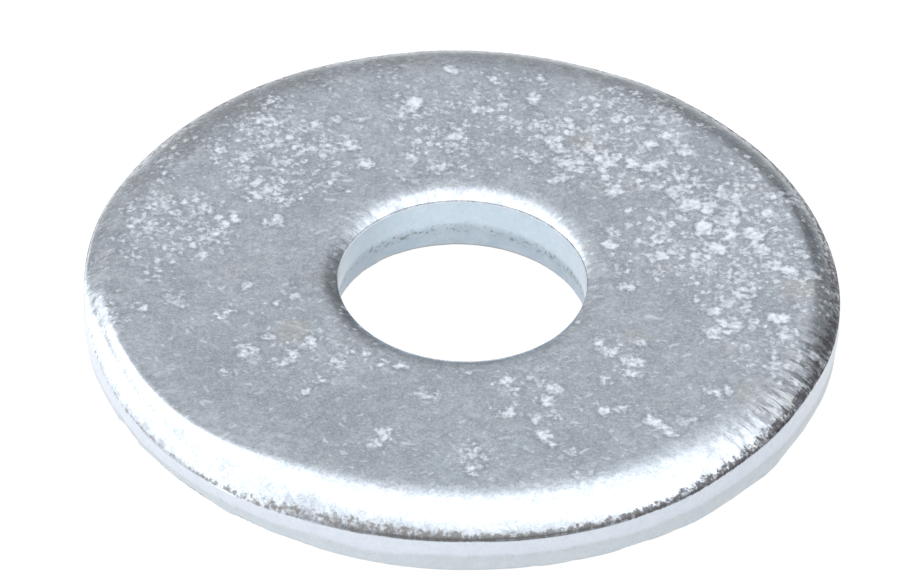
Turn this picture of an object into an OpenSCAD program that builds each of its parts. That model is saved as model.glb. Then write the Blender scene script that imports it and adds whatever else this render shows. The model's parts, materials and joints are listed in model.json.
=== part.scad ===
// Flat washer, extra-large series, for M10: a disc punched from thick steel sheet and
// zinc plated. Both cut edges carry the marks of a compound die. The upper face is
// rolled over into them, below that comes a smooth sheared land, and below the land a
// broken zone leans back to the lower face.
// Millimetres. Z is the bore's axis, and the lower face lies on Z = 0.

/* [Washer] */
// Outside diameter
outer_d = 34; // [28:0.5:60]
// Bore diameter
bore_d = 11; // [5:0.1:16]
// Thickness of the sheet
thickness = 3; // [2.5:0.1:8]

/* [Rolled-over edges] */
// Width of the rolled-over band round the outside
rim_roll_w = 2.7; // [0.8:0.1:3.6]
// Depth that the outside edge is drawn down
rim_roll_h = 0.85; // [0.1:0.05:1.05]
// Width of the rolled-over band at the bore's mouth
bore_roll_w = 0.7; // [0.2:0.05:1.2]
// Depth that the bore's mouth is drawn down
bore_roll_h = 0.25; // [0.05:0.01:0.5]

/* [Broken zone] */
// Height of the broken zone above the lower face
break_h = 1.1; // [0.2:0.05:1.35]
// How far the broken zone leans back from the smooth land
break_lean = 0.12; // [0.02:0.01:0.2]
// Size of the worn-off burr at each lower edge
burr_wear = 0.07; // [0.02:0.01:0.15]

/* [Hidden] */
$fn = 96;
ROLL_STEPS = 10;
ROLL_POWER = 2.6;
outer_r = outer_d / 2;
bore_r = bore_d / 2;

// The rolled-over band, from the flat face out to the wall, which it meets at an edge.
// side is 1 for a wall that faces outwards and -1 for one that faces the axis.
function roll(wall_r, side, w, h) = [
    for (i = [0 : ROLL_STEPS])
        let (t = i / ROLL_STEPS)
        [wall_r - side * w * (1 - t), thickness - h * pow(t, ROLL_POWER)]
];

// The wall's lower part: end of the land, foot of the broken zone, and the worn burr.
function foot(wall_r, side) = [
    [wall_r, break_h],
    [wall_r - side * break_lean, burr_wear],
    [wall_r - side * (break_lean + burr_wear), 0]
];

function reversed(list) = [for (i = [len(list) - 1 : -1 : 0]) list[i]];

// Half of the washer's cross-section, to one side of the bore's axis.
module section() {
    rim = concat(roll(outer_r, 1, rim_roll_w, rim_roll_h), foot(outer_r, 1));
    mouth = concat(roll(bore_r, -1, bore_roll_w, bore_roll_h), foot(bore_r, -1));
    polygon(concat(rim, reversed(mouth)));
}

module washer() {
    color("silver")
        rotate_extrude()
            section();
}

washer();
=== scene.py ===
import json
import math

import bpy
import numpy as np
from mathutils import Matrix, Vector


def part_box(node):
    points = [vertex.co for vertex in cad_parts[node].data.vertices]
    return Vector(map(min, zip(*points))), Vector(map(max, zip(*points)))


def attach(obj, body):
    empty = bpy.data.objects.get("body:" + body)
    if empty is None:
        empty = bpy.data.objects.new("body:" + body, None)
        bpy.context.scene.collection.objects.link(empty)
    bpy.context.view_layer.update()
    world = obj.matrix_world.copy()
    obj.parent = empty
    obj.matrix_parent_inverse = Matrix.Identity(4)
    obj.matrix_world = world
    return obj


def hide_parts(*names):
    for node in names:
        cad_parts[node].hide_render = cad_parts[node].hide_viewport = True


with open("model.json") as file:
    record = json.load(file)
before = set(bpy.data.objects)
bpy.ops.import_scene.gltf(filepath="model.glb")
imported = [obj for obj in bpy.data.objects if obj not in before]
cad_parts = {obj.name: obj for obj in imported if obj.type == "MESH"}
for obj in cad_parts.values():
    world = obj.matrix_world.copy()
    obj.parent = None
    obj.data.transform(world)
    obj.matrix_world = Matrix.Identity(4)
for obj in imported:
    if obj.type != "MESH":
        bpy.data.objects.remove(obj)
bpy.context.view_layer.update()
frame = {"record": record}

MM = 0.001

# ---------------------------------------------------------------- the washer's sizes, in mm
CAD_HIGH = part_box("washer")[1]
BORE_MOUNT = next(mount for mount in frame["record"]["mounts"] if mount["name"] == "bore")
OUTER_R = round(CAD_HIGH.x / MM, 3)
THICK = round(CAD_HIGH.z / MM, 3)
BORE_R = BORE_MOUNT["dims"]["r_mm"]

ROLL_GAP = 0.12      # width of the tight corner between the upper face's roll-over and the wall
ROLL_FROM = 14.0     # the roll-over starts no nearer to the axis than this
ROLL_POWER = 2.2
CORNER_H = 0.07      # height of the corner's last part
BREAK_Z = 0.98       # mean height of the break between smooth land and torn zone
BORE_BREAK_RISE = 0.34
BREAK_HALF_H = 0.10  # half-height of the strip in which the rings follow the break closely
WALL_LOW = 0.17      # height of a wall's lowest ring above its burr
TORN_LEAN = 0.115
MOUTH_W = 1.30       # the bore's own, smaller roll-over
MOUTH_DROP = 0.26
MOUTH_POWER = 2.6
BORE_CORNER = 0.05
BORE_INSET = 0.075   # the bore is drawn this much wider all round than the CAD's
BURR = 0.07
HOLLOW = 0.008       # depth of the hollow at a large fleck

COARSE = 384         # divisions round the axis near the bore
FINE = 768           # and towards the rim
CHANGE_R = 10.4      # where the upper face changes from one to the other
UNDER_CHANGE_R = 15.2
ROLL_END = OUTER_R - ROLL_GAP
RIM_SEED = 101
BORE_SEED = 151

# The rim changes round the axis, as a die that isn't quite central leaves it. Rows of bearing
# in degrees and radius in mm where the upper face begins to roll over.
ROLL_STARTS = [
    (0, 15.60), (20, 15.45), (45, 14.7), (90, 14.2), (115, 14.1), (135, 14.0), (160, 14.8),
    (178, 15.5), (190, 15.8), (200, 15.92), (212, 15.98), (222, 15.95), (230, 15.70),
    (238, 15.1), (246, 14.6), (270, 14.3), (300, 14.3), (318, 14.45), (335, 15.0), (348, 15.45),
]
# Rows of bearing and height in mm of the edge below the roll-over.
EDGE_HEIGHTS = [
    (0, 2.10), (12, 2.0), (30, 2.1), (60, 2.2), (90, 2.2), (120, 2.12), (150, 1.98),
    (168, 2.25), (180, 2.2), (192, 1.85), (202, 1.55), (217, 1.50), (233, 1.50), (247, 1.76),
    (270, 1.98), (300, 1.95), (309, 2.07), (324, 2.32), (340, 2.40),
]
# Rows of bearing and how far in mm the rim's break lies above its mean height.
BREAK_SHIFTS = [
    (0, 0.10), (90, 0.0), (160, -0.1), (200, -0.42), (225, -0.32), (250, -0.10), (270, 0.0),
    (300, 0.02), (330, 0.15),
]
# Rows of bearing and how far inwards in mm the sharp edge is smudged and darkened with painted shade,
SMUDGE_AND_SHADE_REACHES = [
    (0, 1.05), (12, 0.95), (35, 0.90), (60, 0.80), (90, 0.80), (130, 1.60), (150, 1.10),
    (180, 0.40), (200, 0.10), (226, 0.09), (235, 0.20), (243, 0.60), (249, 0.88),
    (262, 0.75), (276, 0.46), (292, 0.44), (305, 0.50), (318, 0.66), (330, 0.80), (345, 1.00),
]
# and of bearing and how strongly, from 0 to 1.
SMUDGE_AND_SHADE_STRENGTHS = [
    (0, 1.0), (40, 0.92), (60, 0.75), (90, 0.58), (130, 0.70), (155, 0.60), (172, 0.35),
    (190, 0.45), (210, 0.86), (235, 0.86), (250, 0.84), (260, 0.97), (270, 1.0), (330, 1.0),
]
# Flats on the rim's lower edge: bearing and half-width in degrees, and depth in mm.
RIM_FLATS = [
    (222.0, 11.0, 0.15), (202.0, 7.0, 0.06), (337.0, 9.0, 0.09), (318.0, 6.0, 0.07),
    (300.0, 7.0, 0.04), (247.0, 8.0, 0.05),
]
# Stretches of the rim where the metal has drawn into coarse marks: bearing, half-width, strength.
DRAWN_STRETCHES = [(335.0, 24.0, 1.0), (2.0, 18.0, 0.22), (182.0, 24.0, 0.45), (214.0, 16.0, 0.28)]
# Stretches of the wall whose torn foot has broken away in nicks.
NICKED_STRETCHES = [(222.0, 30.0, 1.0), (300.0, 30.0, 0.4)]

# Warm, yellowish stains on the upper face: x, y and radius in mm.
STAINS = [
    (15.1, -0.2, 1.3), (13.4, -7.6, 1.6), (-7.5, -4.2, 1.2), (5.4, 9.6, 1.0), (7.9, -3.9, 0.8),
]
# Darker, tarnished places: x, y and radius in mm, and how dark from 0 to 1.
TARNISH = [
    (-10.6, 11.8, 2.3, 0.78), (-12.9, 9.3, 2.1, 0.78), (-7.6, 14.2, 2.1, 0.72),
    (-14.8, 6.4, 1.6, 0.62), (-3.8, 15.6, 1.5, 0.45), (9.5, 13.2, 1.2, 0.50),
    (-6.6, -0.6, 1.2, 0.45), (-4.6, -4.6, 1.1, 0.45), (-4.8, -9.8, 2.2, 0.32),
    (-11.2, -7.6, 2.4, 0.22), (-8.0, -9.4, 1.9, 0.22), (10.0, -0.8, 1.5, 0.20),
]
# Wider areas of scattered small flecks: x, y, radius, and how thickly they lie from 0 to 1.
FLECK_AREAS = [
    (11.5, 3.0, 5.5, 0.85), (7.0, 10.0, 5.0, 0.85), (0.0, 10.5, 4.5, 0.60),
    (-8.5, 8.0, 4.5, 0.75), (-13.0, 3.0, 4.0, 0.80), (-15.5, -3.0, 2.0, 0.60),
    (13.5, -4.0, 3.5, 0.60), (3.5, -8.5, 3.5, 0.45), (-6.5, -5.5, 3.5, 0.50),
    (9.0, -9.5, 2.5, 0.40), (0.8, -12.6, 1.6, 0.55), (-9.0, -3.0, 3.0, 0.35),
    (7.0, -5.5, 2.0, 0.50), (7.5, 2.0, 2.2, 0.45), (-3.4, -11.4, 1.0, 0.50),
    (15.9, -4.2, 1.7, 0.70), (16.4, -0.5, 1.7, 0.75), (16.1, 3.2, 1.7, 0.70),
    (15.0, 6.6, 1.7, 0.60), (13.3, 9.4, 1.7, 0.50), (10.8, 12.2, 1.8, 0.45),
    (-5.2, -3.0, 1.5, 0.60), (-3.3, -5.0, 1.2, 0.50), (5.6, -2.4, 1.3, 0.50),
    (-12.8, 9.2, 2.2, 0.60),
]
# Groups of dull flecks on the upper face: x, y, spread, how many, and mean radius, in mm.
FLECK_GROUPS = [
    (-8.6, 11.5, 0.8, 9, 0.17), (-9.6, 10.3, 0.7, 7, 0.19), (-6.2, 13.4, 0.4, 4, 0.11),
    (-4.0, 14.7, 1.2, 12, 0.12), (-2.4, 12.0, 0.3, 3, 0.32), (-3.0, 11.7, 0.9, 8, 0.15),
    (-0.8, 14.6, 0.1, 1, 0.27), (-6.0, 10.7, 0.3, 3, 0.17), (-4.7, 10.8, 0.4, 4, 0.18),
    (-6.8, 10.3, 0.2, 2, 0.15), (-5.5, 9.1, 0.5, 6, 0.21), (-6.3, 8.9, 0.2, 2, 0.17),
    (-4.5, 7.6, 0.3, 3, 0.30), (-0.8, 9.7, 0.8, 9, 0.26), (-2.5, 8.2, 0.6, 5, 0.18),
    (-1.0, 7.8, 0.6, 5, 0.20), (-7.9, 8.9, 1.1, 14, 0.15), (-8.5, 7.4, 1.2, 15, 0.13),
    (-11.7, 8.1, 0.5, 7, 0.17), (-13.6, 7.0, 0.8, 9, 0.12), (-9.5, 6.3, 0.9, 9, 0.12),
    (-9.3, 5.1, 0.6, 7, 0.17), (-8.2, 5.0, 0.4, 4, 0.18), (-8.5, 3.4, 0.3, 4, 0.28),
    (-10.3, 3.4, 0.2, 2, 0.19), (-14.2, 4.0, 1.1, 15, 0.12), (-14.2, 2.6, 0.6, 8, 0.20),
    (-11.2, 2.4, 0.6, 8, 0.22), (-12.6, 3.4, 0.8, 8, 0.13), (-12.1, 1.4, 0.9, 10, 0.13),
    (-11.8, 4.1, 0.3, 3, 0.15), (-15.5, 0.8, 0.7, 6, 0.11), (-2.5, 6.7, 0.7, 5, 0.13),
    (-6.2, 6.1, 0.5, 3, 0.12), (-13.9, -0.6, 0.9, 9, 0.13), (-15.8, -3.6, 0.7, 7, 0.12),
    (0.4, 11.7, 0.2, 2, 0.25), (3.0, 12.8, 0.3, 2, 0.30), (1.4, 13.8, 0.8, 6, 0.13),
    (3.4, 14.0, 0.8, 7, 0.15), (3.2, 10.6, 0.8, 10, 0.19), (4.6, 10.8, 0.5, 5, 0.17),
    (6.9, 12.7, 1.0, 12, 0.13), (8.6, 12.4, 0.9, 9, 0.12), (3.0, 8.5, 0.6, 6, 0.19),
    (4.4, 8.0, 0.4, 3, 0.28), (6.2, 8.5, 0.2, 2, 0.34), (5.4, 9.3, 0.3, 3, 0.24),
    (4.0, 9.3, 0.3, 3, 0.23), (7.4, 8.3, 0.3, 3, 0.24), (8.5, 8.1, 0.2, 2, 0.38),
    (8.3, 9.6, 0.3, 3, 0.25), (9.8, 9.3, 0.3, 3, 0.27), (4.3, 7.0, 0.5, 5, 0.14),
    (6.7, 6.3, 0.2, 2, 0.30), (9.4, 6.4, 0.2, 3, 0.36), (8.2, 7.2, 0.7, 9, 0.18),
    (10.1, 5.5, 0.2, 3, 0.42), (11.1, 5.4, 0.2, 2, 0.30), (12.4, 5.4, 0.3, 3, 0.25),
    (12.1, 4.6, 0.3, 3, 0.29), (10.8, 3.9, 0.2, 2, 0.40), (12.0, 3.6, 0.3, 3, 0.24),
    (13.0, 3.6, 0.2, 2, 0.36), (11.5, 2.5, 0.2, 3, 0.28), (13.4, 2.4, 0.3, 3, 0.29),
    (13.9, 1.4, 0.3, 3, 0.30), (14.6, 1.1, 0.3, 3, 0.26), (15.0, 2.4, 0.5, 6, 0.18),
    (6.7, 3.4, 0.2, 2, 0.24), (6.6, 2.4, 0.2, 2, 0.24), (8.7, 3.1, 0.3, 3, 0.20),
    (8.5, 1.7, 0.2, 2, 0.21), (8.6, 0.6, 0.2, 2, 0.15), (6.9, 0.8, 0.4, 5, 0.13),
    (11.4, 7.9, 1.1, 15, 0.14), (13.0, 7.5, 0.8, 8, 0.13), (14.3, 6.4, 0.5, 6, 0.17),
    (15.7, 0.9, 0.2, 2, 0.27), (9.7, 7.3, 0.6, 7, 0.18), (11.4, 6.2, 0.4, 4, 0.15),
    (7.3, -0.4, 0.2, 2, 0.23), (12.8, -0.2, 0.6, 6, 0.14), (11.9, -1.2, 0.2, 2, 0.24),
    (11.3, -1.9, 0.3, 3, 0.25), (12.6, -1.7, 0.3, 3, 0.22), (14.1, -2.3, 0.2, 2, 0.32),
    (11.3, -3.4, 0.2, 3, 0.34), (11.7, -2.7, 0.2, 2, 0.25), (12.4, -2.8, 0.4, 5, 0.18),
    (11.8, -2.2, 1.5, 14, 0.13), (14.5, -3.6, 0.5, 6, 0.22), (15.3, -1.7, 0.4, 4, 0.14),
    (14.3, -5.6, 1.0, 11, 0.17), (6.3, -4.3, 0.4, 5, 0.17), (7.6, -5.6, 0.3, 4, 0.29),
    (6.8, -5.0, 0.3, 3, 0.21), (8.1, -4.2, 0.3, 4, 0.13), (7.7, -6.5, 0.4, 5, 0.18),
    (6.5, -6.9, 0.2, 3, 0.22), (4.1, -7.7, 0.3, 4, 0.28), (2.1, -7.2, 0.2, 2, 0.22),
    (2.5, -7.8, 0.5, 5, 0.13), (3.3, -6.9, 0.4, 4, 0.15), (3.9, -8.5, 0.2, 2, 0.24),
    (2.2, -9.6, 0.3, 4, 0.24), (3.5, -9.8, 0.3, 4, 0.17), (4.5, -9.6, 0.4, 4, 0.14),
    (3.9, -10.9, 0.2, 3, 0.30), (4.2, -11.5, 0.2, 2, 0.19), (5.1, -12.0, 0.2, 2, 0.20),
    (6.5, -9.1, 0.2, 3, 0.23), (7.2, -8.9, 0.2, 2, 0.21), (8.6, -9.7, 0.3, 4, 0.28),
    (9.5, -10.4, 0.3, 3, 0.23), (10.1, -9.6, 0.3, 3, 0.22), (11.5, -7.6, 0.5, 7, 0.24),
    (0.8, -12.5, 0.8, 12, 0.15), (0.7, -13.6, 0.2, 2, 0.20), (5.5, -13.6, 0.4, 3, 0.20),
    (0.5, -6.8, 0.3, 3, 0.14), (-9.6, -1.2, 0.2, 3, 0.20), (-12.8, -2.3, 0.4, 4, 0.24),
    (-14.2, -3.1, 0.2, 2, 0.18), (-10.6, -3.3, 0.4, 5, 0.14), (-7.5, -1.8, 0.4, 4, 0.15),
    (-8.3, -2.4, 0.2, 2, 0.12), (-9.7, -5.4, 0.5, 6, 0.17), (-9.6, -6.0, 0.2, 3, 0.25),
    (-8.7, -4.8, 0.3, 3, 0.14), (-7.4, -6.0, 0.3, 4, 0.22), (-7.9, -6.5, 0.3, 3, 0.18),
    (-6.7, -5.0, 0.4, 5, 0.20), (-5.5, -6.3, 0.5, 7, 0.16), (-2.6, -6.4, 0.2, 3, 0.22),
    (-3.5, -6.4, 0.3, 4, 0.14), (-6.4, -7.8, 0.3, 3, 0.13), (-6.8, -8.5, 0.2, 3, 0.17),
    (-10.6, -7.2, 0.2, 2, 0.15), (-1.4, -8.3, 0.4, 6, 0.18), (-3.4, -11.0, 0.3, 5, 0.20),
    (-3.5, -11.9, 0.3, 4, 0.18), (-4.2, -5.7, 0.3, 3, 0.14),
]


# ---------------------------------------------------------------- numeric helpers
def smooth(x, low, high):
    """0 below low, 1 above high, and an S between."""
    t = np.clip((x - low) / (high - low), 0.0, 1.0)
    return t * t * (3.0 - 2.0 * t)


def lumps(points, seed):
    """Smooth noise from -1 to 1 at an array of points, from random values on a unit lattice."""
    table = np.random.RandomState(seed).uniform(-1.0, 1.0, 4096)
    cell = np.floor(points).astype(np.int64)
    part = points - cell
    part = part * part * (3.0 - 2.0 * part)
    total = np.zeros(len(points))
    for dx in (0, 1):
        for dy in (0, 1):
            for dz in (0, 1):
                key = (cell[:, 0] + dx) * 73856093
                key ^= (cell[:, 1] + dy) * 19349663
                key ^= (cell[:, 2] + dz) * 83492791
                share = np.where(dx, part[:, 0], 1.0 - part[:, 0])
                share = share * np.where(dy, part[:, 1], 1.0 - part[:, 1])
                share = share * np.where(dz, part[:, 2], 1.0 - part[:, 2])
                total += share * table[key & 4095]
    return total


def rough(points, size, seed, octaves=3):
    """Several sizes of lumps on top of each other; size is the largest one's, in mm."""
    total = np.zeros(len(points))
    weight = 1.0
    for i in range(octaves):
        total += weight * lumps(points * (2.0 ** i / size) + 17.3 * i, seed + i)
        weight *= 0.5
    return total


def by_bearing(turn, table):
    """A value that changes softly round the axis: table rows of bearing in degrees and value."""
    bearings, values = zip(*table)
    grid = np.arange(360.0)
    line = np.interp(grid, bearings, values, period=360.0)
    window = np.hanning(23)
    soft = np.convolve(np.tile(line, 3), window / window.sum(), "same")[360:720]
    return np.interp(np.degrees(turn), grid, soft, period=360.0)


def stretches(turn, table):
    """Soft humps round the axis: turn in radians, table rows of bearing, half-width, height."""
    total = np.zeros(len(turn))
    for bearing, width, height in table:
        off = np.degrees(np.abs(np.angle(np.exp(1j * (turn - math.radians(bearing))))))
        total = np.maximum(total, height * (1.0 - smooth(off, 0.25 * width, 1.2 * width)))
    return total


def with_height(xy, z):
    """Points at x and y with one more coordinate, a number or an array."""
    return np.column_stack([xy, np.broadcast_to(z, len(xy))])


def spread(start, end, count):
    """count values from start towards end, without the end itself."""
    return [start + (end - start) * i / count for i in range(count)]


# ---------------------------------------------------------------- the cross-section
# The outline is a list of rings: zone, divisions round the axis, and a place in the zone,
# which ring_line turns into a radius and a height at each bearing.
def outline():
    """The closed outline, from the bore's foot up, over the upper face and back underneath."""
    foot_r = OUTER_R - TORN_LEAN - 0.2
    out = []
    for zone, count, places in (
        ("bore_foot", COARSE, (0.0, 0.025, BURR)),
        ("bore", COARSE, [1.0 - t for t in spread(0.0, 1.0, 16)]),
        ("mouth_corner", COARSE, spread(0.0, 1.0, 4)),
        ("mouth", COARSE, spread(0.0, 1.0, 12)),
        ("top", COARSE, spread(BORE_R + MOUTH_W, CHANGE_R, 23)),
        ("top", FINE, spread(CHANGE_R, ROLL_FROM, 21)),
        ("roll", FINE, spread(ROLL_FROM, ROLL_END, 30)),
        ("corner", FINE, spread(0.0, 1.0, 7)),
        ("wall", FINE, spread(0.0, 1.0, 16)),
        ("wall_foot", FINE, (BURR, 0.025, 0.0)),
        ("under", FINE, spread(foot_r, UNDER_CHANGE_R, 5)),
        ("under", COARSE, spread(UNDER_CHANGE_R, BORE_R + 0.4, 12)),
    ):
        out.extend((zone, count, place) for place in places)
    return out


def rim_shape(turn):
    """Where the roll-over starts, and its depth and slope at its end, at each bearing."""
    start = by_bearing(turn, ROLL_STARTS)
    edge = by_bearing(turn, EDGE_HEIGHTS)
    run = ROLL_END - start
    slope = (THICK - edge) * ROLL_POWER / (run + 0.6 * ROLL_GAP * ROLL_POWER)
    return start, slope * run / ROLL_POWER, slope


def break_height(turn, radius, seed):
    """Height of the break between the smooth land and the torn zone."""
    round_it = np.stack([radius * np.cos(turn), radius * np.sin(turn), np.zeros_like(turn)], 1)
    height = BREAK_Z + 0.13 * rough(round_it, 3.4, seed, 3) + 0.03 * rough(round_it, 0.5, seed + 5, 2)
    if radius > CHANGE_R:
        return height + by_bearing(turn, BREAK_SHIFTS)
    return height + BORE_BREAK_RISE


def wall_rows(place, top, middle):
    """Heights of one ring of a cut wall: some rings above the break, some in it, some below."""
    upper = middle + BREAK_HALF_H
    lower = middle - BREAK_HALF_H
    if place < 0.4:
        return top + (upper - top) * place / 0.4
    if place < 0.7:
        return upper - 2.0 * BREAK_HALF_H * (place - 0.4) / 0.3
    return lower + (WALL_LOW - lower) * (place - 0.7) / 0.3


def foot_back(place):
    """How far a cut wall stands back at a height within its worn burr."""
    return TORN_LEAN + BURR * (1.0 - place / BURR) ** 2


def rim_line(zone, place, turn):
    """Radius and height of a ring of the roll-over, the tight corner or the outer wall."""
    same = np.ones_like(turn)
    start, drop, slope = rim_shape(turn)
    if zone == "roll":
        t = np.clip((place - start) / (ROLL_END - start), 0.0, 1.0)
        return place * same, THICK - drop * t ** ROLL_POWER
    top = THICK - drop
    knee = top - slope * ROLL_GAP
    if zone == "corner":
        a, b, c = (1.0 - place) ** 2, 2.0 * place * (1.0 - place), place ** 2
        r = a * ROLL_END + b * (OUTER_R - 0.05 * ROLL_GAP) + c * OUTER_R
        return r * same, a * top + b * knee + c * (knee - CORNER_H)
    return OUTER_R * same, wall_rows(place, knee - CORNER_H, break_height(turn, OUTER_R, RIM_SEED))


def ring_line(zone, place, turn):
    """Radius and height of a ring at each bearing."""
    same = np.ones_like(turn)
    if zone == "top":
        return place * same, THICK * same
    if zone == "under":
        return place * same, 0.0 * same
    if zone == "bore_foot":
        return (BORE_R + foot_back(place)) * same, place * same
    if zone == "wall_foot":
        return (OUTER_R - foot_back(place)) * same, place * same
    if zone == "bore":
        top = THICK - MOUTH_DROP - BORE_CORNER
        return BORE_R * same, wall_rows(place, top, break_height(turn, BORE_R, BORE_SEED))
    if zone == "mouth_corner":
        angle = place * math.pi / 4.0
        z = THICK - MOUTH_DROP - BORE_CORNER * (1.0 - math.sin(angle))
        return (BORE_R + BORE_CORNER * (1.0 - math.cos(angle))) * same, z * same
    if zone == "mouth":
        r = BORE_R + BORE_CORNER + (MOUTH_W - BORE_CORNER) * place
        return r * same, (THICK - MOUTH_DROP * (1.0 - place) ** MOUTH_POWER) * same
    return rim_line(zone, place, turn)


# ---------------------------------------------------------------- flecks
def fleck_list():
    """Every single fleck in the groups: centre x, y, mean radius, and how its outline bulges."""
    rng = np.random.RandomState(41)
    out = []
    for x, y, reach, count, size in FLECK_GROUPS:
        crowd = 0.85 if count > 6 else 1.0
        for k in range(count):
            angle = rng.uniform(0.0, 2.0 * math.pi)
            far = math.sqrt(rng.uniform(0.0, 1.0)) * (0.3 * reach if k == 0 else 1.15 * reach + 0.1)
            radius = size * (1.2 if k == 0 else rng.uniform(0.35, 1.0)) * crowd
            bulges = rng.uniform(-1.0, 1.0, 6)
            out.append((x + far * math.cos(angle), y + far * math.sin(angle), radius, *bulges))
    return out


FLECKS = fleck_list()


def fleck_distance(xy):
    """Distance in mm to the edge of the nearest fleck, negative inside one."""
    best = np.full(len(xy), 1.0)
    for x, y, radius, *bulge in FLECKS:
        dx, dy = xy[:, 0] - x, xy[:, 1] - y
        near = np.flatnonzero((np.abs(dx) < 1.5) & (np.abs(dy) < 1.5))
        if len(near) == 0:
            continue
        dx, dy = dx[near], dy[near]
        way = np.arctan2(dy, dx)
        edge = 1.0 + 0.22 * (bulge[0] * np.cos(2 * way) + bulge[1] * np.sin(2 * way))
        edge += 0.14 * (bulge[2] * np.cos(3 * way) + bulge[3] * np.sin(3 * way))
        edge += 0.10 * (bulge[4] * np.cos(5 * way) + bulge[5] * np.sin(5 * way))
        best[near] = np.minimum(best[near], np.hypot(dx, dy) - radius * edge)
    return best


def fleck_density(xy):
    """How thickly small flecks lie, from 0 to 1."""
    total = np.zeros(len(xy))
    for x, y, reach, amount in FLECK_AREAS:
        near = np.hypot(xy[:, 0] - x, xy[:, 1] - y) / reach
        total = np.maximum(total, amount * (1.0 - smooth(near, 0.35, 1.15)))
    for x, y, reach, count, _ in FLECK_GROUPS:
        near = np.hypot(xy[:, 0] - x, xy[:, 1] - y) / (reach + 0.7)
        total += min(0.30, 0.05 * count) * (1.0 - smooth(near, 0.2, 1.0))
    total += 0.06 + 0.16 * smooth(xy[:, 1] + 0.35 * xy[:, 0], -3.0, 9.0)
    return np.minimum(total, 1.0)


# ---------------------------------------------------------------- wear on each ring
class Ring:
    """A ring of vertices round the axis: its perfect place, its wear, and the material's values."""

    def __init__(self, zone, count, place):
        self.zone = zone
        self.place = place
        self.count = count
        self.turn = np.arange(count) * (2.0 * math.pi / count)
        self.circle = np.stack([np.cos(self.turn), np.sin(self.turn)], 1)
        self.r, self.z = ring_line(zone, place, self.turn)
        self.mean_r = self.r.mean()
        self.mean_z = self.z.mean()
        self.outer = self.mean_r > CHANGE_R
        self.is_wall = zone in ("bore", "wall", "bore_foot", "wall_foot")
        self.in_bore = zone in ("bore", "bore_foot")
        self.flat = with_height(self.r[:, None] * self.circle, self.z)
        self.home = (OUTER_R if self.outer else BORE_R + 0.5) * self.circle
        self.sink = np.zeros(count)
        self.way = (0.0, -1.0)
        self.path = 0.0
        self.values = {
            "fleck": np.ones(count),
            "wear": np.zeros(count),
            "torn": np.full(count, 9.0),
            "drawn": np.zeros(count),
            "bore": np.full(count, 1.0 if self.in_bore else 0.0),
            "smudge_and_shade": np.zeros(count),
        }

    def points(self):
        """The ring's vertices, sunk into the metal by its wear."""
        step = with_height(self.way[0] * self.circle, self.way[1])
        return self.flat + self.sink[:, None] * step


def wall_inset(turn, z, break_z, radius, seed):
    """How far a cut wall stands back from its full radius."""
    round_it = np.stack([radius * np.cos(turn), radius * np.sin(turn), np.zeros_like(turn)], 1)
    here = np.stack([round_it[:, 0], round_it[:, 1], z * 1.6], 1)
    deep = np.clip((break_z - z) / break_z, 0.0, 1.0)
    torn = smooth(break_z - z, -0.05, 0.09)
    inset = torn * (0.018 + 0.010 * rough(here, 0.45, seed + 11, 3))
    inset += (TORN_LEAN - 0.03) * deep
    low = 1.0 - smooth(z, 0.05, 1.15)
    flats = smooth(rough(round_it, 4.2, seed + 23, 2), 0.15, 0.85)
    chips = smooth(rough(round_it, 1.1, seed + 31, 2), 0.55, 1.1)
    inset += low * (0.05 * flats + 0.040 * chips)
    if radius > CHANGE_R:
        inset += (0.35 + 0.65 * low) * stretches(turn, RIM_FLATS)
        nicks = smooth(rough(round_it, 1.7, seed + 37, 2), 0.05, 0.45)
        inset += 0.15 * low * nicks * stretches(turn, NICKED_STRETCHES)
    else:
        inset += BORE_INSET
    inset += 0.003 * (1.0 + rough(here, 1.4, seed + 41, 2))
    return np.maximum(inset, 0.0)


def face_sink(points):
    """How far the rolled metal of a flat face lies below its full height."""
    slow = 0.0020 * (1.0 + lumps(points / 5.0, 3))
    orange_peel = 0.00132 * (1.0 + rough(points, 0.9, 7, 2))
    return slow + orange_peel


def wear_wall(ring):
    """A cut wall stands back below its break, and further at flats, chips and nicks."""
    radius, seed = (BORE_R, BORE_SEED) if ring.in_bore else (OUTER_R, RIM_SEED)
    middle = break_height(ring.turn, radius, seed)
    ring.sink = wall_inset(ring.turn, ring.z, middle, radius, seed)
    ring.values["torn"] = ring.z - middle
    if ring.zone.endswith("foot"):
        ring.sink = np.maximum(ring.sink - TORN_LEAN * 0.75, 0.0)
    ring.way = (1.0 if ring.in_bore else -1.0, 0.0)


def wear_under(ring):
    """The lower face is flat, with the same rolled surface and a few marks."""
    ring.values["wear"] = 0.35 + 0.35 * lumps(ring.flat / 3.0, 67)
    ring.values["fleck"] = np.full(ring.count, 0.5)
    from_edge = np.full(ring.count, OUTER_R - ring.place)
    ring.sink = face_sink(ring.flat + 50.0) * smooth(from_edge, 0.3, 1.5)


def wear_rim(ring):
    """Waves and draw marks run over the rim's roll-over."""
    last = float(smooth(np.array(ring.mean_r), 15.3, 16.9))
    reached = float(smooth(np.array(ring.mean_r), 14.8, 16.2))
    ring.values["drawn"] = reached * stretches(ring.turn, DRAWN_STRETCHES)
    comb = with_height(ring.home, ring.mean_r * 0.3)
    broad = with_height(ring.home, ring.mean_r * 0.6)
    marks = ring.values["drawn"] * 0.007 * (1.0 + rough(comb, 0.7, 53, 2))
    ring.sink = ring.sink + (marks + last * 0.024 * (1.0 + rough(broad, 3.0, 71, 3)))


def wear_mouth(ring):
    """Draw marks run over the bore's mouth, which stands back with the wall below it."""
    near = 1.0 if ring.zone == "mouth_corner" else 1.0 - ring.place
    ring.values["drawn"] = np.full(ring.count, 0.45 * near)
    marks = 0.004 * (1.0 + rough(with_height(ring.home, ring.path * 0.4), 0.7, 59, 2))
    ring.sink = ring.sink + near * (BORE_INSET * 0.4 + marks)
    ring.flat = ring.flat + with_height(BORE_INSET * near ** 2 * ring.circle, 0.0)


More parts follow.
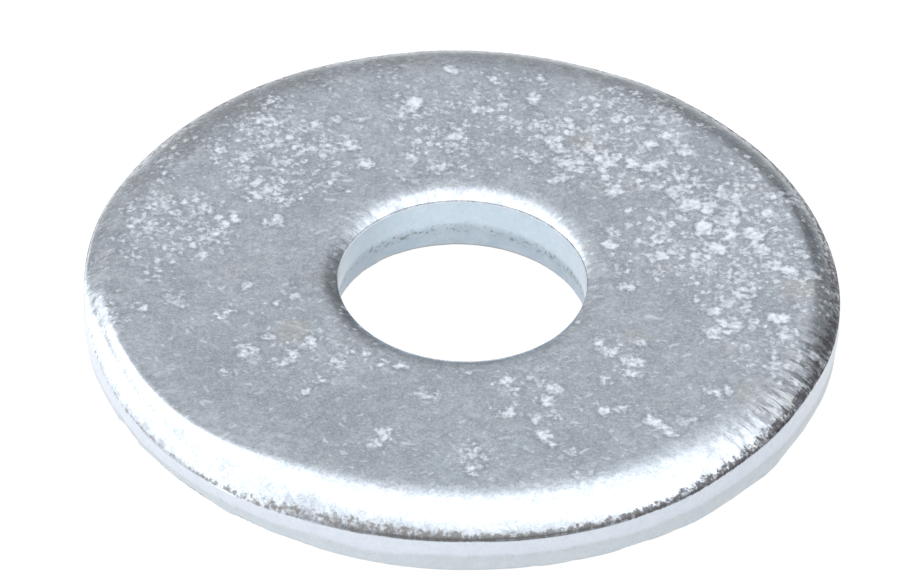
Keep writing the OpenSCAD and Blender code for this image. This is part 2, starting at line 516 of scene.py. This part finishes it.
def wear_face(ring):
    """The upper face and its two roll-overs, with a shallow hollow at each large fleck."""
    xy = ring.flat[:, :2]
    ring.values["fleck"] = fleck_distance(xy)
    ring.values["wear"] = fleck_density(xy)
    inside_fleck = 1.0 - smooth(ring.values["fleck"], -0.10, 0.06)
    ring.sink = face_sink(ring.flat) + HOLLOW * inside_fleck
    if ring.zone in ("roll", "corner"):
        wear_rim(ring)
    if ring.zone in ("mouth", "mouth_corner"):
        wear_mouth(ring)


def edge_smudge_and_shade(ring):
    """How dark the sharp outer edge is, from 0 to 1: smudged, and darkened with painted shade."""
    inside = np.maximum(OUTER_R - ring.r, 0.0)
    below = by_bearing(ring.turn, EDGE_HEIGHTS) - 0.10 - ring.z
    dark = 1.0 - smooth(inside / by_bearing(ring.turn, SMUDGE_AND_SHADE_REACHES), 0.15, 1.0)
    dark = dark * (1.0 - smooth(below, 0.0, 0.12))
    return dark * by_bearing(ring.turn, SMUDGE_AND_SHADE_STRENGTHS)


def wear(ring):
    if ring.is_wall:
        wear_wall(ring)
    elif ring.zone == "under":
        wear_under(ring)
    else:
        wear_face(ring)
    if ring.outer and ring.zone != "under":
        ring.values["smudge_and_shade"] = edge_smudge_and_shade(ring)


# ---------------------------------------------------------------- the mesh
def sink_ways(radii, heights):
    """Unit way into the metal at each ring, from the places of the rings beside it."""
    points = np.stack([radii, heights], 1)
    along = np.roll(points, -1, axis=0) - np.roll(points, 1, axis=0)
    along /= np.linalg.norm(along, axis=1)[:, None]
    return np.stack([along[:, 1], -along[:, 0]], 1)


def worn_rings():
    """All rings of the outline, with their wear."""
    rings = [Ring(zone, count, place) for zone, count, place in outline()]
    radii = np.array([ring.mean_r for ring in rings])
    heights = np.array([ring.mean_z for ring in rings])
    steps = np.hypot(np.diff(radii), np.diff(heights))
    path = np.concatenate([[0.0], np.cumsum(steps)])
    for ring, way, length in zip(rings, sink_ways(radii, heights), path):
        ring.way = way
        ring.path = length
        wear(ring)
    return rings


def ring_faces(first, second, count_a, count_b):
    """Faces between two rings, given as index of first vertex and number of vertices."""
    if count_a == count_b:
        around = [(i, (i + 1) % count_a) for i in range(count_a)]
        return [(first + j, first + i, second + i, second + j) for i, j in around]
    faces = []
    small, large = (first, second) if count_a < count_b else (second, first)
    count = min(count_a, count_b)
    for i in range(count):
        j = (i + 1) % count
        a, b, c = 2 * i, 2 * i + 1, (2 * i + 2) % (2 * count)
        fan = [
            (small + i, large + b, large + a),
            (small + i, small + j, large + b),
            (small + j, large + c, large + b),
        ]
        if count_a < count_b:
            fan = [tuple(reversed(face)) for face in fan]
        faces.extend(fan)
    return faces


def shell_faces(rings):
    """Faces of the closed shell that joins each ring to the next, and the last to the first."""
    faces = []
    first = 0
    for ring, following in zip(rings, rings[1:] + rings[:1]):
        second = 0 if following is rings[0] else first + ring.count
        faces.extend(ring_faces(first, second, ring.count, following.count))
        first = second
    return faces


def build_washer():
    rings = worn_rings()
    verts = np.concatenate([ring.points() for ring in rings])
    verts[:, 2] = np.clip(verts[:, 2], 0.0, THICK)
    mesh = bpy.data.meshes.new("washer_plated")
    mesh.from_pydata((verts * MM).tolist(), [], shell_faces(rings))
    mesh.polygons.foreach_set("use_smooth", [True] * len(mesh.polygons))
    for name in rings[0].values:
        layer = mesh.attributes.new(name, "FLOAT", "POINT")
        values = np.concatenate([ring.values[name] for ring in rings])
        layer.data.foreach_set("value", values.astype(np.float32))
    grain = np.concatenate([with_height(ring.home, ring.path) for ring in rings])
    layer = mesh.attributes.new("grain", "FLOAT_VECTOR", "POINT")
    layer.data.foreach_set("vector", grain.astype(np.float32).ravel())
    mesh.validate()
    mesh.update()
    piece = bpy.data.objects.new("washer_plated", mesh)
    bpy.context.collection.objects.link(piece)
    return piece


# ---------------------------------------------------------------- node helpers
class Nodes:
    """Adds nodes to a tree and joins them, so that a material reads as sums."""

    def __init__(self, tree):
        self.tree = tree

    def add(self, kind, **props):
        node = self.tree.nodes.new(kind)
        for key, value in props.items():
            setattr(node, key, value)
        return node

    def put(self, socket, value):
        if isinstance(value, bpy.types.NodeSocket):
            self.tree.links.new(value, socket)
        elif isinstance(value, tuple) and len(value) == 3 and socket.type == "RGBA":
            socket.default_value = (*value, 1.0)
        else:
            socket.default_value = value

    def put_all(self, sockets, values):
        for socket, value in zip(sockets, values):
            self.put(socket, value)

    def math(self, operation, a, b=0.0, c=0.0):
        node = self.add("ShaderNodeMath", operation=operation)
        self.put_all(node.inputs, (a, b, c))
        return node.outputs[0]

    def times(self, *factors):
        total = factors[0]
        for factor in factors[1:]:
            total = self.math("MULTIPLY", total, factor)
        return total

    def plus(self, *terms):
        total = terms[0]
        for term in terms[1:]:
            total = self.math("ADD", total, term)
        return total

    def minus(self, a, b):
        return self.math("SUBTRACT", a, b)

    def most(self, a, b):
        return self.math("MAXIMUM", a, b)

    def vector(self, operation, a, b):
        node = self.add("ShaderNodeVectorMath", operation=operation)
        self.put_all(node.inputs, (a, b))
        return node

    def scaled(self, vector, factor):
        return self.vector("MULTIPLY", vector, factor).outputs[0]

    def moved(self, vector, offset):
        return self.vector("ADD", vector, offset).outputs[0]

    def away(self, vector, point):
        return self.vector("DISTANCE", vector, point).outputs["Value"]

    def turned(self, vector, degrees):
        node = self.add("ShaderNodeVectorRotate", rotation_type="Z_AXIS")
        self.put(node.inputs["Vector"], vector)
        self.put(node.inputs["Angle"], math.radians(degrees))
        return node.outputs[0]

    def noise(self, vector, scale, detail=2.0, roughness=0.5, distortion=0.0, output="Fac"):
        node = self.add("ShaderNodeTexNoise")
        self.put(node.inputs["Vector"], vector)
        self.put(node.inputs["Scale"], scale)
        self.put(node.inputs["Detail"], detail)
        self.put(node.inputs["Roughness"], roughness)
        self.put(node.inputs["Distortion"], distortion)
        return node.outputs[output]

    def cells(self, vector, scale):
        """Distance to the nearest cell's middle, and two random numbers of that cell."""
        node = self.add("ShaderNodeTexVoronoi")
        self.put(node.inputs["Vector"], vector)
        self.put(node.inputs["Scale"], scale)
        tint = self.add("ShaderNodeSeparateColor")
        self.put(tint.inputs[0], node.outputs["Color"])
        return node.outputs["Distance"], tint.outputs[0], tint.outputs[1]

    def range(self, value, low, high, to_low=0.0, to_high=1.0, kind="SMOOTHSTEP"):
        node = self.add("ShaderNodeMapRange", interpolation_type=kind)
        self.put_all(node.inputs, (value, low, high, to_low, to_high))
        return node.outputs[0]

    def mix(self, factor, a, b):
        node = self.add("ShaderNodeMix", data_type="FLOAT")
        self.put_all((node.inputs[0], node.inputs[2], node.inputs[3]), (factor, a, b))
        return node.outputs[0]

    def colour(self, factor, a, b):
        node = self.add("ShaderNodeMix", data_type="RGBA")
        self.put_all((node.inputs[0], node.inputs[6], node.inputs[7]), (factor, a, b))
        return node.outputs[2]

    def attribute(self, name, output="Fac"):
        return self.add("ShaderNodeAttribute", attribute_name=name).outputs[output]

    def axes(self, vector):
        node = self.add("ShaderNodeSeparateXYZ")
        self.put(node.inputs[0], vector)
        return node.outputs


# ---------------------------------------------------------------- the zinc plating
# Every texture lies in the washer's own millimetres. A layer of zinc() is a mask from 0 to 1,
# and paint() lays a colour over the others by such a mask.
def dashes(n, place, degrees, scale, share, shift):
    """Soft light marks, longer than wide, in some of the cells and of random strength."""
    lie = n.scaled(n.moved(n.turned(place, degrees), shift), (0.62 * scale, 1.35 * scale, scale))
    sway = n.scaled(n.noise(place, 2.6, 1.0, output="Color"), (0.9, 0.9, 0.0))
    far, strength, pick = n.cells(n.moved(lie, sway), 1.0)
    size = n.range(pick, 1.0 - share, 1.0, -0.05, 0.40, "LINEAR")
    mark = n.range(n.minus(far, size), 0.04, -0.16)
    return n.times(mark, n.range(strength, 0.0, 1.0, 0.35, 1.0, "LINEAR"))


def all_dashes(n, place):
    """Short light marks lying every way."""
    marks = dashes(n, place, 6.0, 2.0, 0.60, (3.0, 1.0, 0.0))
    for degrees, scale, share, shift in (
        (-38.0, 2.5, 0.55, (9.0, 5.0, 0.0)),
        (64.0, 2.6, 0.40, (1.0, 8.0, 0.0)),
        (17.0, 4.4, 0.60, (6.0, 2.0, 0.0)),
    ):
        marks = n.most(marks, dashes(n, place, degrees, scale, share, shift))
    return marks


def small_flecks(n, place, worn, scale, low, shift):
    """Dots of random size and strength, thick where the plating is worn."""
    sway = n.scaled(n.noise(place, scale * 1.9, 2.0, output="Color"), (0.30, 0.30, 0.0))
    bent = n.moved(n.moved(place, sway), (shift, shift * 0.7, 0.0))
    far, size, strength = n.cells(bent, scale)
    size = n.minus(n.plus(size, worn), low)
    edge = n.minus(far, n.times(size, 0.62))
    return n.times(n.range(edge, 0.10, -0.18), n.range(strength, 0.0, 1.0, 0.40, 1.0, "LINEAR"))


def fleck_layers(n, place):
    """All flecks, and painted shade round the rims of the large ones.

    The plating is speckled all over: thinly on clean metal, thickly in small flecks, which lie
    where it is worn, and most of all in the large ones, each of which has its own strength.
    """
    worn = n.attribute("wear")
    ragged = n.times(n.minus(n.noise(place, 2.6, 2.0, 0.6), 0.5), 0.40)
    reach = n.plus(n.attribute("fleck"), ragged)
    strength = n.range(n.noise(place, 0.9, 1.0), 0.36, 0.62, 0.70, 1.0)
    large = n.times(n.range(reach, 0.24, -0.22), strength)
    small = n.times(small_flecks(n, place, worn, 1.9, 0.90, 3.0), 0.80)
    tiny = n.times(small_flecks(n, place, worn, 3.4, 0.80, 9.0), 0.70)
    cover = n.most(large, n.most(small, tiny))
    speck = n.noise(place, 4.4, 2.0, 0.56)
    total = n.plus(n.times(speck, 0.80), n.times(cover, 0.42), n.times(worn, 0.05))
    # Painted shade: a dark ring just outside each large fleck, as a shallow pit's rim would be
    # shaded.
    fleck_rim_shade = n.times(n.range(reach, 0.26, 0.10), n.range(reach, -0.04, 0.08))
    return n.range(total, 0.475, 1.00), fleck_rim_shade


class Marks:
    """The masks and noises that the colour, the gloss and the relief share."""

    def __init__(self, n):
        self.place = n.scaled(n.add("ShaderNodeTexCoord").outputs["Object"], (1.0 / MM,) * 3)
        self.x, self.y, self.z = n.axes(self.place)
        self.cloud = n.noise(self.place, 0.40, 3.0, 0.55)
        self.mottle = n.noise(self.place, 1.5, 3.0, 0.62, 0.5)
        self.fine = n.noise(self.place, 4.4, 2.0, 0.60)
        self.grit = n.noise(self.place, 9.0, 1.0, 0.5)
        self.dashes = all_dashes(n, self.place)
        self.flecks, self.fleck_rim_shade = fleck_layers(n, self.place)
        self.add_edge_marks(n)
        self.add_walls(n)

    def add_edge_marks(self, n):
        """Draw marks run over the edges, square to the rim, with streaks of painted shade and glint;
        the sharp edge has smudge and painted shade.
        """
        grain = n.attribute("grain", "Vector")
        self.drawn = n.attribute("drawn")
        self.comb = n.noise(n.scaled(grain, (1.0, 1.0, 0.26)), 1.9, 3.0, 0.62, 0.5)
        self.fine_comb = n.noise(n.scaled(grain, (1.0, 1.0, 0.24)), 4.6, 1.5, 0.55, 0.4)
        both = n.plus(self.comb, n.times(self.fine_comb, 0.5))
        # Painted shade and painted highlight: dark streaks and pale glints along the draw marks.
        self.strokes = n.times(n.range(both, 0.72, 0.86), self.drawn)
        self.glints = n.times(n.range(both, 0.72, 0.60), self.drawn)
        bristles = n.minus(n.plus(self.comb, n.times(self.fine_comb, 0.7)), 0.85)
        bristles = n.times(bristles, 1.25, n.range(self.drawn, 0.0, 0.8, 0.15, 1.0))
        edge_breakup = n.times(n.minus(n.noise(self.place, 3.9, 3.0, 0.70), 0.5), 2.5)
        smudge_and_shade = n.range(n.plus(n.attribute("smudge_and_shade"), bristles, edge_breakup), 0.46, 1.10)
        self.smudge_and_shade = n.times(smudge_and_shade, n.range(self.flecks, 0.0, 0.7, 1.0, 0.25))

    def add_walls(self, n):
        """A cut wall is torn metal below its ragged break, with specks along the break."""
        above = n.attribute("torn")
        edge = n.plus(above, n.times(n.minus(n.noise(self.place, 5.0, 3.0, 0.6), 0.5), 0.22))
        self.is_wall = n.range(above, 8.0, 5.0)
        self.in_bore = n.range(n.attribute("bore"), 0.4, 0.6)
        torn_from = n.mix(self.in_bore, 0.12, 0.20)
        torn_to = n.mix(self.in_bore, -0.20, -0.30)
        self.torn = n.range(edge, torn_from, torn_to)
        specks = n.range(n.noise(self.place, 4.4, 3.0, 0.72), 0.48, 0.68)
        from_line = n.math("ABSOLUTE", n.plus(edge, n.mix(self.in_bore, 0.10, 0.26)))
        self.line = n.times(n.range(from_line, 0.46, 0.02), specks)


def paint(n, body, layers):
    """Lays colours over body, each by its mask."""
    for mask, tint in layers:
        body = n.colour(mask, body, tint)
    return body


def stained(n, marks, body):
    """Warm stains and tarnished places, each with a ragged outline."""
    soft = n.times(n.minus(marks.mottle, 0.5), 1.6)
    for x, y, radius in STAINS:
        near = n.plus(n.away(marks.place, (x, y, THICK)), soft)
        body = n.colour(n.range(near, radius, 0.4 * radius, 0.0, 0.55), body, (0.80, 0.79, 0.74))
    patchy = n.plus(n.times(marks.fine, 0.6), n.times(marks.mottle, 0.6))
    patchy = n.times(n.minus(patchy, 0.6), 3.6)
    for x, y, radius, dark in TARNISH:
        near = n.plus(n.away(marks.place, (x, y, THICK)), patchy)
        body = n.colour(n.range(near, radius, 0.3 * radius, 0.0, dark), body, (0.42, 0.445, 0.48))
    return body


def face_colour(n, marks):
    """Bluish zinc, a little warm or green in places, paler on the flecks, with painted light."""
    # Painted light: the upper face is darker at the front and lighter towards the back.
    front = (0.632, 0.725, 0.822)
    rear = (0.720, 0.795, 0.880)
    dim = n.range(n.noise(marks.place, 0.27, 2.0), 0.56, 0.40, 0.0, 0.40)
    rosy = n.times(n.range(n.noise(marks.place, 0.55, 2.0), 0.60, 0.78), 0.4)
    body = n.colour(n.range(marks.y, -15.0, 15.0, kind="LINEAR"), front, rear)
    body = paint(n, body, (
        (n.range(marks.cloud, 0.35, 0.66, 0.0, 0.62), (0.72, 0.785, 0.865)),
        (dim, (0.50, 0.575, 0.665)),
        (rosy, (0.76, 0.745, 0.76)),
    ))
    body = stained(n, marks, body)
    from_axis = n.away(marks.place, (0.0, 0.0, THICK))
    # Painted highlight: a pale band near the rim, on the front only, where the roll-over catches the
    # light.
    rim_highlight = n.times(n.range(from_axis, 13.4, 15.6), n.range(marks.y, 3.0, -5.0))
    return paint(n, body, (
        (n.times(rim_highlight, 0.50), (0.81, 0.89, 0.98)),
        (n.range(marks.mottle, 0.70, 0.28, 0.0, 0.62), (0.42, 0.475, 0.545)),
        (n.range(marks.fine, 0.60, 0.30, 0.0, 0.46), (0.38, 0.42, 0.49)),
        (n.range(marks.grit, 0.40, 0.70, 0.0, 0.35), (0.95, 0.975, 1.0)),
        (n.times(marks.fleck_rim_shade, 0.30), (0.36, 0.40, 0.46)),
        (n.times(marks.dashes, 0.74), (0.82, 0.905, 0.99)),
        (n.times(marks.strokes, 0.60), (0.20, 0.205, 0.215)),
        (n.times(marks.glints, 0.45), (0.92, 0.91, 0.87)),
        (marks.flecks, (0.84, 0.90, 0.98)),
    ))


def wall_colour(n, marks):
    """Clean zinc on the land, duller on the torn zone; the bore bluer and darker with painted shade.
    """
    # Painted shade: the bore's land and torn zone are darker and bluer than the rim's.
    land = n.colour(marks.in_bore, (0.680, 0.735, 0.822), (0.58, 0.695, 0.795))
    torn = n.colour(marks.in_bore, (0.592, 0.652, 0.696), (0.44, 0.53, 0.615))
    shaded = n.times(n.range(marks.x, -1.5, -5.0), n.range(marks.mottle, 0.2, 0.7, 0.7, 1.0))
    # Painted shadow: the bore wall darkens at its foot, where it meets the floor.
    foot = n.range(n.plus(marks.z, n.times(marks.grit, -0.10)), 0.13, 0.03)
    return paint(n, n.colour(marks.torn, land, torn), (
        (n.times(n.range(marks.mottle, 0.35, 0.70), 0.20), (0.82, 0.85, 0.88)),
        (n.range(marks.fine, 0.60, 0.30, 0.0, 0.16), (0.40, 0.45, 0.48)),
        (n.times(marks.in_bore, shaded, 0.55), (0.30, 0.36, 0.42)),
        (n.times(marks.line, n.mix(marks.in_bore, 0.20, 0.95)), (0.20, 0.23, 0.225)),
        (n.times(marks.in_bore, foot, 0.70), (0.32, 0.29, 0.27)),
    ))


def gloss(n, marks):
    """Roughness and metallic: bright metal, and dull flecks, half chalk, that scatter light."""
    dull = n.plus(0.19, n.times(marks.mottle, 0.10), n.times(marks.dashes, 0.14))
    dull = n.mix(marks.flecks, dull, 0.50)
    dull = n.mix(marks.is_wall, dull, n.mix(marks.torn, 0.28, 0.42))
    dull = n.mix(marks.smudge_and_shade, dull, 0.50)
    chalk = n.times(marks.flecks, n.range(marks.is_wall, 1.0, 0.0))
    return dull, n.range(chalk, 0.0, 1.0, 1.0, 0.35, "LINEAR")


def relief(n, marks):
    """Height of the finest marks, in mm."""
    return n.plus(
        n.times(marks.mottle, 0.0060),
        n.times(marks.fine, 0.0030),
        n.times(marks.dashes, 0.0010),
        n.times(marks.flecks, -0.0020),
        n.times(marks.comb, marks.drawn, 0.021),
        n.times(marks.fine_comb, marks.drawn, 0.0040),
        n.times(marks.torn, marks.fine, 0.0060),
    )


def zinc():
    material = bpy.data.materials.new("zinc_plate_worn")
    material.use_nodes = True
    n = Nodes(material.node_tree)
    shader = material.node_tree.nodes["Principled BSDF"]
    marks = Marks(n)
    body = n.colour(marks.is_wall, face_colour(n, marks), wall_colour(n, marks))
    # Smudge and painted shade on the sharp edge: a dark colour, darker towards the right.
    soot_and_shade = n.colour(n.range(marks.x, 2.0, 13.0), (0.245, 0.232, 0.226), (0.104, 0.094, 0.102))
    n.put(shader.inputs["Base Color"], n.colour(n.times(marks.smudge_and_shade, 0.88), body, soot_and_shade))
    roughness, metallic = gloss(n, marks)
    n.put(shader.inputs["Roughness"], roughness)
    n.put(shader.inputs["Metallic"], metallic)
    bump = n.add("ShaderNodeBump")
    bump.inputs["Strength"].default_value = 1.0
    bump.inputs["Distance"].default_value = MM
    n.put(bump.inputs["Height"], relief(n, marks))
    n.put(shader.inputs["Normal"], bump.outputs[0])
    return material


# ---------------------------------------------------------------- floor, room, light and camera
GREY_LOW = 0.42      # the room's brightness at the horizon,
GREY_HIGH = 0.58     # higher up,
GREY_LEFT = 0.13     # how much more at the back on the left,
GREY_RIGHT = 0.23    # the brightness of a dark doorway on the right,
GREY_FRONT = 0.17    # and behind the camera,
WHITE = 0.91         # and how much more on the ceiling
SCREEN = 1.35        # and on the white screen on the left
FLOOR_SEEN = 0.94    # the floor's own glow as the camera sees it
FLOOR_W = 40.0       # the floor's width in metres
PALE_GREY = (0.14, 0.14, 0.14, 1.0)
PURE_WHITE = (1.0, 1.0, 1.0, 1.0)


def make_floor():
    """A white sheet that glows, though it is no lamp. Mirrored in the metal, its glow is white near
    the washer and greyer further out.
    """
    bpy.ops.mesh.primitive_plane_add(size=FLOOR_W, location=(0.0, 0.0, 0.0))
    floor = bpy.context.object
    floor.name = "studio_floor"
    material = bpy.data.materials.new("pale_floor")
    material.use_nodes = True
    n = Nodes(material.node_tree)
    shader = material.node_tree.nodes["Principled BSDF"]
    shader.inputs["Base Color"].default_value = PALE_GREY
    shader.inputs["Roughness"].default_value = 1.0
    shader.inputs["Specular IOR Level"].default_value = 0.0
    shader.inputs["Emission Color"].default_value = PURE_WHITE
    x, y, _ = n.axes(n.add("ShaderNodeTexCoord").outputs["Object"])
    left = n.times(n.math("MINIMUM", x, 0.0), n.range(y, 0.012, 0.0, 1.0, 0.30))
    right = n.most(x, 0.0)
    squares = n.plus(*(n.math("POWER", side, 2.0) for side in (left, right, y)))
    glow = n.range(n.math("SQRT", squares), 0.0205, 0.031, 0.90, 0.24)
    glow = n.times(glow, n.range(x, -0.017, 0.017, 1.13, 0.92, "LINEAR"))
    # Painted light: a glowing patch on the floor at the left, brighter than the rest, like a white
    # card.
    card_glow = n.times(n.range(x, -0.0185, -0.0235), n.range(y, 0.012, 0.004))
    glow = n.plus(glow, n.times(card_glow, 1.05))
    seen = n.add("ShaderNodeLightPath").outputs["Is Camera Ray"]
    n.put(shader.inputs["Emission Strength"], n.mix(seen, glow, FLOOR_SEEN))
    floor.data.materials.append(material)


def soft_patch(n, way, centre, inner, outer):
    """1 within inner degrees of a direction and 0 beyond outer degrees."""
    middle = tuple(Vector(centre).normalized())
    near = n.vector("DOT_PRODUCT", way, middle).outputs["Value"]
    return n.range(near, math.cos(math.radians(outer)), math.cos(math.radians(inner)))


def room_brightness(n, way):
    """Grey walls, a white ceiling, a white screen on the left, and dark behind the camera."""
    side, depth, height = n.axes(way)
    grey = n.range(height, 0.0, 0.62, GREY_LOW, GREY_HIGH)
    front = n.times(n.range(depth, -0.20, -0.42), n.range(height, 0.02, 0.14))
    grey = n.mix(n.times(front, n.range(side, 0.75, 0.40)), grey, GREY_FRONT)
    grey = n.mix(soft_patch(n, way, (0.56, 0.78, 0.27), 14.0, 34.0), grey, GREY_RIGHT)
    grey = n.plus(grey, n.times(soft_patch(n, way, (-0.55, 0.80, 0.16), 8.0, 26.0), GREY_LEFT))

    up = n.most(height, 0.05)
    across = n.math("DIVIDE", side, up)
    back = n.math("DIVIDE", depth, up)
    ceiling = n.times(
        n.range(back, 1.12, -0.22, kind="LINEAR"),
        n.range(back, -0.96, -0.80),
        n.range(across, 1.50, 1.05),
    )
    left = n.most(n.times(side, -1.0), 0.02)
    aside = n.math("DIVIDE", depth, left)
    screen = n.times(
        n.range(left, 0.36, 0.58),
        n.range(height, -0.04, 0.06),
        n.range(aside, 1.02, 0.76),
        n.range(aside, -1.10, -0.85),
    )
    return n.plus(grey, n.most(n.times(ceiling, WHITE), n.times(screen, SCREEN)))


def make_room():
    """The room lights the washer and shows in it, and the camera sees plain white."""
    world = bpy.data.worlds.new("studio")
    bpy.context.scene.world = world
    world.use_nodes = True
    world.node_tree.nodes.clear()
    n = Nodes(world.node_tree)
    grey = room_brightness(n, n.add("ShaderNodeTexCoord").outputs["Generated"])
    shade = n.add("ShaderNodeCombineXYZ")
    n.put_all(shade.inputs, (grey, grey, grey))
    room = n.add("ShaderNodeBackground")
    n.put(room.inputs["Color"], shade.outputs[0])
    seen = n.add("ShaderNodeBackground")
    seen.inputs["Color"].default_value = PURE_WHITE
    both = n.add("ShaderNodeMixShader")
    is_seen = n.add("ShaderNodeLightPath").outputs["Is Camera Ray"]
    n.put_all(both.inputs, (is_seen, room.outputs[0], seen.outputs[0]))
    out = n.add("ShaderNodeOutputWorld")
    n.put(out.inputs["Surface"], both.outputs[0])


def panel(name, size_x, size_y, place, aim, power):
    """A soft light panel that shows in reflections but not to the camera."""
    light = bpy.data.lights.new(name, "AREA")
    light.shape = "RECTANGLE"
    light.size = size_x
    light.size_y = size_y
    light.energy = power
    lamp = bpy.data.objects.new(name, light)
    bpy.context.collection.objects.link(lamp)
    lamp.location = place
    lamp.rotation_mode = "QUATERNION"
    lamp.rotation_quaternion = (Vector(aim) - Vector(place)).to_track_quat("-Z", "Y")
    lamp.visible_camera = False


def make_lights():
    panel("overhead_panel", 1.9, 0.9, (0.0, 0.05, 1.0), (0.0, 0.05, 0.0), 2.5)
    panel("left_panel", 0.9, 0.8, (-1.35, 0.35, 0.80), (0.0, 0.0, 0.0), 1.5)


def make_camera():
    """Looks down on the washer's middle from the front, from far off, slightly rolled."""
    distance = 1000.0        # in mm, as the next three
    view_w = 40.932          # width of the view at the washer
    foot_right = 0.2654      # the washer's foot centre from the view's middle
    foot_below = 1.5113
    tilt = math.radians(39.96)
    roll = math.radians(1.935)
    camera = bpy.data.cameras.new("camera")
    camera.sensor_width = 36.0
    camera.lens = camera.sensor_width * distance / view_w
    camera.clip_start = 0.05
    camera.clip_end = 50.0
    holder = bpy.data.objects.new("camera", camera)
    bpy.context.collection.objects.link(holder)
    back = Vector((0.0, -math.cos(tilt), math.sin(tilt)))
    turn = (-back).to_track_quat("-Z", "Y").to_matrix() @ Matrix.Rotation(roll, 3, "Z")
    right, up = turn @ Vector((1, 0, 0)), turn @ Vector((0, 1, 0))
    holder.location = (back * distance - right * foot_right + up * foot_below) * MM
    holder.rotation_mode = "QUATERNION"
    holder.rotation_quaternion = turn.to_quaternion()
    bpy.context.scene.camera = holder


# ---------------------------------------------------------------- the scene
washer = build_washer()
washer.data.materials.append(zinc())
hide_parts("washer")
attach(washer, "root")

make_floor()
make_room()
make_lights()
make_camera()
bpy.context.scene.view_settings.view_transform = "Standard"
